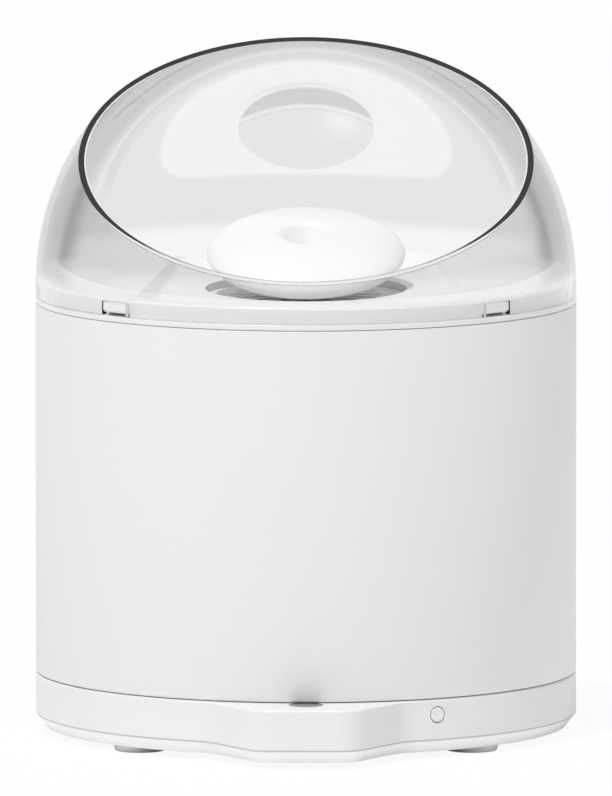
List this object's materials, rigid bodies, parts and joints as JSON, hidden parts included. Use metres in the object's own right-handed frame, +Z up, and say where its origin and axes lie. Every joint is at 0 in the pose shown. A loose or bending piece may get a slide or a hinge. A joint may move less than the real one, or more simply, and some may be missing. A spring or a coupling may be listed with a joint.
{
  "type": "pet water fountain",
  "caption": "Round pet drinking fountain: clear dome cut open at the front over a tray with a pebble spout, on a lift-off tank and a cordless base with a front nose.",
  "frame": {"origin": "middle of the footprint, at the underside of the feet", "axes": "+Z up along the body axis, -Y to the front where the dome opens and the nose stands out, +X to the right of someone facing the front"},
  "size_m": [0.19, 0.21, 0.2398],
  "materials": {
    "body_plastic": "satin injection-moulded plastic, white",
    "clear_plastic": "clear polished plastic",
    "smoked_lens": "dark translucent lens",
    "light_guide": "clear acrylic",
    "foot_rubber": "pale grey rubber",
    "soft_silicone": "translucent silicone",
    "circuit_board": "solder-masked board",
    "dark_plastic": "black moulded plastic",
    "copper": "enamelled copper winding",
    "ferrite": "sintered ferrite",
    "steel": "stainless steel",
    "pump_plastic": "matt white plastic",
    "filter_plastic": "smooth white plastic",
    "carbon": "activated carbon granules",
    "felt": "needled cotton pad",
    "foam": "open-cell foam"
  },
  "bodies": {
    "base": {"base_shell": "body_plastic", "base_bottom": "body_plastic", "base_screws": "steel", "foot_front_left": "foot_rubber", "foot_front_right": "foot_rubber", "foot_rear_left": "foot_rubber", "foot_rear_right": "foot_rubber", "indicator_lens": "smoked_lens", "light_guide": "light_guide", "indicator_diode": "light_guide", "control_board": "circuit_board", "board_parts": "dark_plastic", "charge_coil": "copper", "coil_ferrite": "ferrite", "button_board": "circuit_board", "button_switch": "dark_plastic", "power_inlet": "dark_plastic"},
    "button": {"button_cap": "body_plastic"},
    "tank": {"tank": "body_plastic"},
    "pump": {"pump_housing": "pump_plastic", "pump_base": "pump_plastic", "pump_pads": "soft_silicone", "pump_coil": "copper", "pump_stator": "copper", "pump_cover": "pump_plastic", "pump_shaft": "steel", "thrust_cap": "soft_silicone", "riser_tube": "pump_plastic"},
    "impeller": {"impeller": "pump_plastic", "rotor_magnet": "ferrite"},
    "tray": {"drinking_tray": "body_plastic"},
    "filter": {"filter_case": "filter_plastic", "filter_lid": "filter_plastic", "filter_carbon": "carbon", "filter_cotton": "felt", "filter_foam": "foam"},
    "spout": {"spout_pebble": "body_plastic", "spout_stem": "filter_plastic", "stem_ring": "soft_silicone"},
    "dome": {"dome": "clear_plastic"}
  },
  "joints": [
    {"name": "tank_lift", "type": "slide", "parent": "base", "child": "tank", "axis": [0, 0, 1], "range_m": [0, 0.06]},
    {"name": "tray_lift", "type": "slide", "parent": "tank", "child": "tray", "axis": [0, 0, 1], "range_m": [0, 0.06]},
    {"name": "dome_lift", "type": "slide", "parent": "tray", "child": "dome", "axis": [0, 0, 1], "range_m": [0, 0.06]},
    {"name": "filter_lift", "type": "slide", "parent": "tray", "child": "filter", "axis": [0, 0, 1], "range_m": [0, 0.04]},
    {"name": "spout_lift", "type": "slide", "parent": "filter", "child": "spout", "axis": [0, 0, 1], "range_m": [0, 0.02]},
    {"name": "pump_lift", "type": "slide", "parent": "tank", "child": "pump", "axis": [0, 0, 1], "range_m": [0, 0.012]},
    {"name": "impeller_spin", "type": "hinge", "parent": "pump", "child": "impeller", "pos_m": [0, 0.01, 0.0575], "axis": [0, 0, 1], "continuous": true},
    {"name": "button_press", "type": "slide", "parent": "base", "child": "button", "axis": [-0.4833, 0.8755, 0], "range_m": [0, 0.0005], "stiffness_N_per_m": 800, "springref_m": -0.0003}
  ]
}
